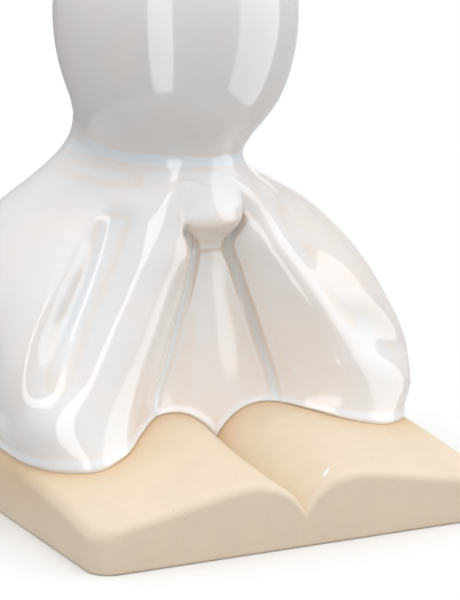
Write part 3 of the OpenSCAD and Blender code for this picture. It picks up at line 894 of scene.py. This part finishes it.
def clay_material():
    """Bare fired clay: matt, mottled, with a few dark grains, darker and warmer beside the glazed foot
    as painted shade with some flashing, and a fleck of glaze on the right page with its glint painted in
    as a painted highlight.
    """
    finish = bpy.context.scene.figurine_finish
    material, tree, shader, place = new_material("bisque_book")
    mottle = ranged(tree, noise(tree, place, 0.011, 4.0, 0.6), 0.32, 0.70)
    paler = tuple(min(1.0, c * 1.02) for c in finish.clay)
    darker = tuple(c * 0.98 for c in finish.clay)
    ground = blend(tree, mottle, darker, paler)
    # Painted shade beside the glazed foot, darker and warmer clay, partly the clay's own flashing
    ground = blend(tree, layer(tree, "flash"), ground, finish.clay_flash_and_shade)
    grain = tree.nodes.new("ShaderNodeTexVoronoi")
    grain.inputs["Scale"].default_value = 1 / 0.0021
    tree.links.new(place, grain.inputs["Vector"])
    near = ranged(tree, grain.outputs["Distance"], 0.045, 0.085, 1.0, 0.0)
    split = tree.nodes.new("ShaderNodeSeparateColor")
    tree.links.new(grain.outputs["Color"], split.inputs["Color"])
    chosen = ranged(tree, split.outputs["Red"], 0.70, 0.72)
    strength = ranged(tree, split.outputs["Green"], 0.0, 1.0, 0.12, 0.6)
    specks = maths(tree, "MULTIPLY", maths(tree, "MULTIPLY", near, chosen), strength)
    ground = blend(tree, specks, ground, finish.clay_speck)
    # A fleck of glaze on the right page, painted pale in the matt clay, with its glint as a painted
    # highlight
    ends = [measure(tree, "DISTANCE", place, end) for end in GLINT_FLECK]
    span = math.dist(*GLINT_FLECK)
    glint_fleck = ranged(tree, maths(tree, "ADD", *ends), span + 0.00004, span + 0.0002, 1.0, 0.0)
    ground = blend(tree, glint_fleck, ground, finish.pooled)
    tree.links.new(ground, shader.inputs["Base Color"])
    dull = ranged(tree, noise(tree, place, 0.004, 3.0), 0.3, 0.7, 0.52, 0.68)
    tree.links.new(dull, shader.inputs["Roughness"])
    shader.inputs["IOR"].default_value = 1.45
    sand = bump(tree, noise(tree, place, 0.0006, 3.0, 0.6), 0.00004)
    hand = bump(tree, noise(tree, place, 0.016, 2.0), 0.00008, sand)
    tree.links.new(hand, shader.inputs["Normal"])
    return material


def book_lines(f):
    """Lines of the book's grid: across, from the gutter both ways, and along, from the front edge."""
    pocket, rim = f.base_w / 2 - f.base_wall, f.base_w / 2 - f.edge_r
    hole_r, wall = f.vent_d / 2, f.base_wall
    arc = np.sin(np.radians(np.linspace(0, 90, 9)))
    right = np.concatenate(
        [
            np.linspace(0, hole_r, 12, endpoint=False),
            np.arange(hole_r, 20, 0.5),
            np.arange(20, pocket - 1.6, 0.9),
            [pocket - 1, pocket],
            np.linspace(pocket, rim, 4)[1:-1],
            rim + f.edge_r * arc,
        ]
    )
    ends = np.concatenate([f.edge_r * (1 - arc[::-1]), [4.6, 5.8, wall, wall + 1]])
    hole_d = f.belly_y + f.body_d / 2 + f.base_d / 2
    along = np.concatenate(
        [
            ends,
            np.linspace(wall + 1, hole_d - hole_r, 64)[1:],
            np.linspace(hole_d - hole_r, hole_d + hole_r, 13)[1:],
            np.linspace(hole_d + hole_r, f.base_d - wall - 1, 34)[1:-1],
            (f.base_d - ends)[::-1],
        ]
    )
    return np.concatenate([-right[:0:-1], right]), along


def drop_unused(verts, faces):
    """Leaves out the points that no face uses."""
    used = np.zeros(len(verts), bool)
    for face in faces:
        used[list(face)] = True
    number = np.cumsum(used) - 1
    return verts[used], [tuple(int(number[v]) for v in face) for face in faces]


def flash_and_shade_share(f, verts):
    """Share of painted shade at the book's points, darker and warmer clay partly from flashing: most
    beside the glazed foot, none underneath.
    """
    foot = glazed_skin()[2][0][:, :2]
    parts = np.array_split(verts[:, None, :2], 8)
    gap = np.concatenate([np.linalg.norm(part - foot, axis=2).min(axis=1) for part in parts])
    return bell(gap, 0, FLASH_AND_SHADE_REACH, 1.2) * (verts[:, 2] > f.hollow_h + 0.5)


class FIGURINE_OT_book(bpy.types.Operator):
    """Makes the open book of bare clay, hollow underneath"""

    bl_idname = "figurine.book"
    bl_label = "Book base"

    def execute(self, context):
        f = Figure(sizes_now())
        half, hole_r, hole_y = f.base_w / 2, f.vent_d / 2, f.belly_y + f.body_d / 2
        x, d = np.meshgrid(*book_lines(f))
        near = np.minimum(d, f.base_d - d)

        # Plan with rounded corners, and with a round hole drawn into it for the vent
        turn = np.maximum(0, f.corner_r - near)
        corner = f.corner_r - np.sqrt(np.maximum(0, f.corner_r**2 - turn**2))
        off_x, off_y = x * (half - corner) / half, d - f.base_d / 2 - hole_y
        square = np.maximum(np.abs(off_x), np.abs(off_y))
        ring = np.abs(square - hole_r) < 1e-6
        radius = np.where(ring, hole_r / np.maximum(1e-9, np.hypot(off_x, off_y)), 1)
        plan_x, plan_y = off_x * radius, hole_y + off_y * radius

        side = np.maximum(0, np.abs(x) - (half - f.edge_r))
        end = np.maximum(0, f.edge_r - near)
        drop = 2 * f.edge_r - np.sqrt(f.edge_r**2 - side**2) - np.sqrt(f.edge_r**2 - end**2)
        top = np.dstack([plan_x, plan_y, f.gutter_h + f.page(plan_x, plan_y) - drop])
        low = np.hypot(np.maximum(0, np.abs(x) - half + FOOT_R), np.maximum(0, FOOT_R - near))
        low = FOOT_R - np.sqrt(np.maximum(0, FOOT_R**2 - low**2))
        hollow = (np.abs(x) < half - f.base_wall - 0.5) & (near > f.base_wall + 0.5)
        under = np.dstack([plan_x, plan_y, np.where(hollow, f.hollow_h, low)])

        below = x.size
        number = np.arange(below).reshape(x.shape)
        shut = ~ring & (square > hole_r)
        whole = shut[:-1, :-1] | shut[1:, :-1] | shut[:-1, 1:] | shut[1:, 1:]
        faces = []
        for j, i in zip(*np.nonzero(whole)):
            a, b, c, e = number[j, i], number[j, i + 1], number[j + 1, i + 1], number[j + 1, i]
            faces += [(a, b, c, e), (a + below, e + below, c + below, b + below)]

        # Walls all round, with two lines of points to keep them flat between the rounded edges
        edges = (number[0, :-1], number[:-1, -1], number[-1, :0:-1], number[:0:-1, 0])
        rim = np.concatenate(edges)
        verts = np.vstack([top.reshape(-1, 3), under.reshape(-1, 3)])
        step = np.array([0, 0, WALL_STEP])
        upper = len(verts) + np.arange(len(rim))
        verts = np.vstack([verts, verts[rim] - step, verts[rim + below] + step])
        loops = [rim, upper, upper + len(rim), rim + below]
        for high, deep in zip(loops, loops[1:]):
            faces += list(zip(np.roll(high, -1), high, deep, np.roll(deep, -1)))

        # Wall of the vent
        marks = np.nonzero(ring.ravel())[0]
        loop = marks[np.argsort(np.arctan2(off_y.ravel()[marks], off_x.ravel()[marks]))]
        faces += [(a, b, b + below, a + below) for a, b in zip(loop, np.roll(loop, -1))]

        verts, faces = drop_unused(verts, faces)
        layers, clay = {"flash": flash_and_shade_share(f, verts)}, clay_material()
        piece = finish_piece(
            "bisque_book_base", verts, faces, clay, "book_base", layers=layers
        )
        piece.data.set_sharp_from_angle(angle=math.radians(42))
        return {"FINISHED"}


class FIGURINE_OT_body(bpy.types.Operator):
    """Makes the hollow body: the belly shows between the folds, the rest lies behind them"""

    bl_idname = "figurine.body"
    bl_label = "Body"

    def execute(self, context):
        figure, hs, p, n, marks = glazed_skin()
        belly = STATIONS[BELLY]
        front, rear = np.linspace(CREASE, GROOVE, 13), np.linspace(GROOVE, BACK, 15)[1:]
        side = np.concatenate([front, rear])
        left, right = -side[::-1], side[:-1]
        around = np.concatenate([left, belly * 0.97, right])
        middle = slice(len(left), len(left) + len(belly))
        seam = int(np.argmin(np.abs(hs - CHEST_SEAM)))
        rings, shown, normals = [], [], []

        def add(points, skin=None):
            rings.append(points)
            shown.append(np.zeros((len(points), len(marks))))
            normals.append(np.full((len(points), 3), np.nan))
            if skin is not None:
                values = [mark[skin, BELLY] for mark in marks.values()]
                shown[-1][middle] = np.column_stack(values)
                normals[-1][middle] = n[skin, BELLY]

        for row, h in enumerate(hs[: seam + 1]):
            hidden = [figure.skin_row(us, h, figure.fold_t) for us in (left, right)]
            if row == 0:
                for points in hidden:
                    points[:, 2] -= figure.seat_gap
            add(np.vstack([hidden[0], p[row, BELLY], hidden[1]]), row)
        for h in np.linspace(CHEST_BACK, 1, 12):
            add(figure.skin_row(around, h, figure.fold_t))
        gap, top = figure.spigot_gap, figure.spigot_h
        clear = figure.wall + gap
        for z, inset in ((gap, clear), (top, clear), (top, clear + figure.wall)):
            ring = figure.skin_row(around, 1.0, inset)
            ring[:, 1] = np.minimum(ring[:, 1], figure.belly_y + figure.nape(z) - inset)
            ring[:, 2] = figure.neck_z + z
            add(ring)
        for h in LINING:
            add(figure.skin_row(around, h, figure.fold_t + figure.wall))
        rows, width = len(rings), len(rings[0])
        faces = cell_faces(rows, width, wrap=True)
        last = (rows - 1) * width
        for i in range(width):
            j = (i + 1) % width
            faces.append((last + i, last + j, j, i))
        verts, normals = np.vstack(rings), np.vstack(normals)
        layers = dict(zip(marks, np.vstack(shown).T))
        glaze = glaze_material()
        finish_piece("glazed_body", verts, faces, glaze, "body", normals, layers)
        return {"FINISHED"}


class FIGURINE_OT_chest(bpy.types.Operator):
    """Makes the chest that stands out over the belly"""

    bl_idname = "figurine.chest"
    bl_label = "Chest"

    def execute(self, context):
        figure, hs, *_ = glazed_skin()
        seam = int(np.argmin(np.abs(hs - CHEST_SEAM)))
        rows = list(range(seam, len(hs)))
        share = (hs[rows] - CHEST_SEAM) / (1 - CHEST_SEAM)
        behind = CHEST_BACK + (1 - CHEST_BACK) * share
        inner = np.array([figure.skin_row(STATIONS[BELLY], h, figure.fold_t) for h in behind])
        shell("glazed_chest", "chest", BELLY, rows, inner)
        return {"FINISHED"}


class FIGURINE_OT_front_folds(bpy.types.Operator):
    """Makes the two front folds of the cloak"""

    bl_idname = "figurine.front_folds"
    bl_label = "Front folds"

    def execute(self, context):
        fold("glazed_left_front_fold", "left_front_fold", -GROOVE, -CREASE)
        fold("glazed_right_front_fold", "right_front_fold", CREASE, GROOVE)
        return {"FINISHED"}


class FIGURINE_OT_rear_folds(bpy.types.Operator):
    """Makes the two rear folds, which meet behind the figure"""

    bl_idname = "figurine.rear_folds"
    bl_label = "Rear folds"

    def execute(self, context):
        fold("glazed_left_rear_fold", "left_rear_fold", -BACK, -GROOVE)
        fold("glazed_right_rear_fold", "right_rear_fold", GROOVE, BACK)
        return {"FINISHED"}


class FIGURINE_OT_head(bpy.types.Operator):
    """Makes the plain head, a hollow shell on the neck"""

    bl_idname = "figurine.head"
    bl_label = "Head"

    def execute(self, context):
        figure, hs, p, n, marks = glazed_skin()
        first = len(hs) - 1
        outer = p[first:]
        rows, width = outer.shape[:2]
        base = figure.neck_angles(outer[0])
        vault = figure.head_mid + figure.crown_h * np.sin(np.radians(np.linspace(80, 0, 9)))
        inner = []
        for z in np.concatenate([vault, np.linspace(figure.head_mid, CLOSE_HEAD, 9)[1:]]):
            span = figure.crown_h if z > figure.head_mid else figure.head_mid + CHIN_DROP
            t = (z - figure.head_mid) / span
            inner.append(figure.head_ring(base, z, figure.wall, -0.5 * figure.wall * t))
        inner.append(figure.head_ring(base, 0.0, figure.wall))
        inner = np.array(inner)
        top_z = figure.neck_z + figure.head_mid + figure.crown_h
        crown = np.array([0, figure.belly_y + figure.head_back, top_z])
        poles = np.array([crown, crown - np.array([0, 0, figure.wall])])
        count = rows * width
        verts = np.vstack([outer.reshape(-1, 3), inner.reshape(-1, 3), poles])
        faces = cell_faces(rows, width, wrap=True) + cell_faces(len(inner), width, count, wrap=True)
        top, last, pole = count - width, len(verts) - 2 - width, len(verts) - 2
        for i in range(width):
            j = (i + 1) % width
            caps = [(top + i, top + j, pole), (count + j, count + i, pole + 1)]
            faces += caps + [(last + i, last + j, j, i)]
        normals = np.full((len(verts), 3), np.nan)
        normals[:count] = n[first:].reshape(-1, 3)
        normals[pole] = (0, 0, 1)
        blank = np.zeros(len(verts) - count)
        layers = {key: np.append(values[first:].ravel(), blank) for key, values in marks.items()}
        glaze = glaze_material()
        finish_piece("glazed_head", verts, faces, glaze, "head", normals, layers)
        return {"FINISHED"}


def facing(azimuth, elevation):
    """Unit vector from the object towards a direction: azimuth 0 is the front, in degrees."""
    a, e = math.radians(azimuth), math.radians(elevation)
    return Vector((math.sin(a) * math.cos(e), -math.cos(a) * math.cos(e), math.sin(e)))


def softbox(name, azimuth, elevation, distance, width, height, aim, radiance, shine):
    """A studio light facing the object, as one lamp for its light and one for its reflection."""
    for key, level in ((name, radiance), (name + "_shine", shine)):
        lamp = area_lamp(key, azimuth, elevation, distance, width, height, level, aim)
        lamp.visible_diffuse = key == name
        lamp.visible_glossy = key != name
        lamp.data.cycles.use_multiple_importance_sampling = key != name


def area_lamp(name, azimuth, elevation, distance, width, height, radiance, aim):
    """A rectangular lamp that faces the object's axis at the aim's height, not seen by the camera."""
    light = bpy.data.lights.new(name, "AREA")
    light.shape = "RECTANGLE"
    light.size, light.size_y = width, height
    light.energy = radiance * math.pi * width * height
    lamp = bpy.data.objects.new(name, light)
    way = facing(azimuth, elevation)
    lamp.location = Vector((0, 0, aim)) + way * distance
    lamp.rotation_euler = way.to_track_quat("Z", "Y").to_euler()
    lamp.visible_camera = False
    bpy.context.scene.collection.objects.link(lamp)
    return lamp


def seen(tree):
    """1 for what the camera sees, straight or in a reflection."""
    path = tree.nodes.new("ShaderNodeLightPath")
    either = maths(tree, "MAXIMUM", path.outputs["Is Camera Ray"], path.outputs["Is Glossy Ray"])
    return maths(tree, "MAXIMUM", either, path.outputs["Is Transmission Ray"])


class FIGURINE_OT_stage(bpy.types.Operator):
    """Sets the floor, the studio lights, the pale background and the camera"""

    bl_idname = "figurine.stage"
    bl_label = "Studio stage"

    def execute(self, context):
        scene, look = context.scene, context.scene.figurine_stage
        self.make_floor(look)
        for name, (*place, light, shine) in SOFTBOXES.items():
            softbox(name, *place, getattr(look, light), getattr(look, shine))
        self.make_world(scene, look)
        self.make_camera(scene, look)
        scene.view_settings.view_transform = "Standard"
        return {"FINISHED"}

    def make_floor(self, look):
        """A round floor whose edge runs into the white background."""
        mesh = bpy.data.meshes.new("floor")
        turn = np.linspace(0, 2 * math.pi, 97)[:-1]
        rim = np.column_stack([np.sin(turn), np.cos(turn), 0 * turn]) * look.stand / 2
        mesh.from_pydata(rim[::-1].tolist(), [], [tuple(range(len(rim)))])
        material = bpy.data.materials.new("floor")
        tree = empty_tree(material)
        out = tree.nodes.new("ShaderNodeOutputMaterial")
        matt = tree.nodes.new("ShaderNodeBsdfDiffuse")
        glow = tree.nodes.new("ShaderNodeEmission")
        place = tree.nodes.new("ShaderNodeTexCoord")
        shown = seen(tree)
        tree.links.new(blend(tree, shown, look.bounce, look.floor), matt.inputs["Color"])
        away = ranged(tree, measure(tree, "LENGTH", place.outputs["Object"]), 0.075, 0.122)
        mix_shaders(tree, maths(tree, "MULTIPLY", away, shown), matt, glow, out)
        mesh.materials.append(material)
        floor = bpy.data.objects.new("floor", mesh)
        bpy.context.scene.collection.objects.link(floor)

    def make_world(self, scene, look):
        """White all round in the picture, with grey cards that the glaze mirrors at its edges."""
        scene.world = bpy.data.worlds.new("studio")
        tree = empty_tree(scene.world)
        out = tree.nodes.new("ShaderNodeOutputWorld")
        fill, white = (tree.nodes.new("ShaderNodeBackground") for _ in range(2))
        for node in (fill, white):
            node.inputs["Color"].default_value = (1, 1, 1, 1)
        way = tree.nodes.new("ShaderNodeTexCoord").outputs["Generated"]
        parts = tree.nodes.new("ShaderNodeSeparateXYZ")
        tree.links.new(way, parts.inputs[0])
        up = parts.outputs["Z"]
        even = ranged(tree, up, -0.25, 0.3, look.under, look.fill)
        tree.links.new(even, fill.inputs["Strength"])
        right_hand = (math.cos(look.azimuth), math.sin(look.azimuth), 0)
        aside = measure(tree, "DOT_PRODUCT", way, right_hand)
        left = ranged(tree, aside, -0.28, -0.09, look.flag_left, 1.0)
        right = ranged(tree, aside, 0.09, 0.28, 1.0, look.flag_right)
        over = ranged(tree, up, -0.05, 0.12, 1.0, look.flag_over)
        cards = maths(tree, "MINIMUM", maths(tree, "MULTIPLY", left, right), over)
        straight = tree.nodes.new("ShaderNodeLightPath").outputs["Is Camera Ray"]
        tree.links.new(maths(tree, "MAXIMUM", cards, straight), white.inputs["Strength"])
        mix_shaders(tree, seen(tree), fill, white, out)

    def make_camera(self, scene, look):
        """A camera that has the foot of the belly at its place in the picture."""
        data = bpy.data.cameras.new("camera")
        data.lens, data.sensor_width = look.lens, SENSOR
        data.clip_start, data.clip_end = 0.01, 20
        camera = bpy.data.objects.new("camera", data)
        scene.collection.objects.link(camera)
        back = facing(math.degrees(look.azimuth), math.degrees(look.elevation))
        right = Vector((math.cos(look.azimuth), math.sin(look.azimuth), 0))
        up = back.cross(right)
        pixels = look.lens / SENSOR * max(PICTURE)
        across, down = (at - size / 2 for at, size in zip(FOOT_PIXEL, PICTURE))
        ray = -back + right * (across / pixels) - up * (down / pixels)
        turn = Matrix((right, up, back)).transposed().to_4x4()
        turn.translation = Vector(BELLY_FOOT) - ray * look.distance
        camera.matrix_world = turn
        scene.camera = camera


class FIGURINE_PT_panel(bpy.types.Panel):
    """Sizes, colours and makers of the figurine"""

    bl_idname = "FIGURINE_PT_panel"
    bl_label = "Porcelain figurine"
    bl_space_type = "VIEW_3D"
    bl_region_type = "UI"
    bl_category = "Figurine"

    def draw(self, context):
        for group in ("figurine_sizes", "figurine_finish", "figurine_stage"):
            box = self.layout.box()
            values = getattr(context.scene, group)
            for key in type(values).__annotations__:
                box.prop(values, key)
        for maker in MAKERS:
            self.layout.operator(maker.bl_idname)


GROUPS = {
    "figurine_sizes": FigurineSizes,
    "figurine_finish": FigurineFinish,
    "figurine_stage": FigurineStage,
}
MAKERS = (
    FIGURINE_OT_book,
    FIGURINE_OT_body,
    FIGURINE_OT_chest,
    FIGURINE_OT_front_folds,
    FIGURINE_OT_rear_folds,
    FIGURINE_OT_head,
    FIGURINE_OT_stage,
)


def register():
    for cls in (*GROUPS.values(), *MAKERS, FIGURINE_PT_panel):
        bpy.utils.register_class(cls)
    for key, cls in GROUPS.items():
        setattr(bpy.types.Scene, key, PointerProperty(type=cls))


def unregister():
    for key in GROUPS:
        delattr(bpy.types.Scene, key)
    for cls in (FIGURINE_PT_panel, *reversed(MAKERS), *GROUPS.values()):
        bpy.utils.unregister_class(cls)


def main():
    register()
    bpy.ops.figurine.book()
    bpy.ops.figurine.body()
    bpy.ops.figurine.chest()
    bpy.ops.figurine.front_folds()
    bpy.ops.figurine.rear_folds()
    bpy.ops.figurine.head()
    bpy.ops.figurine.stage()


if __name__ == "__main__":
    main()
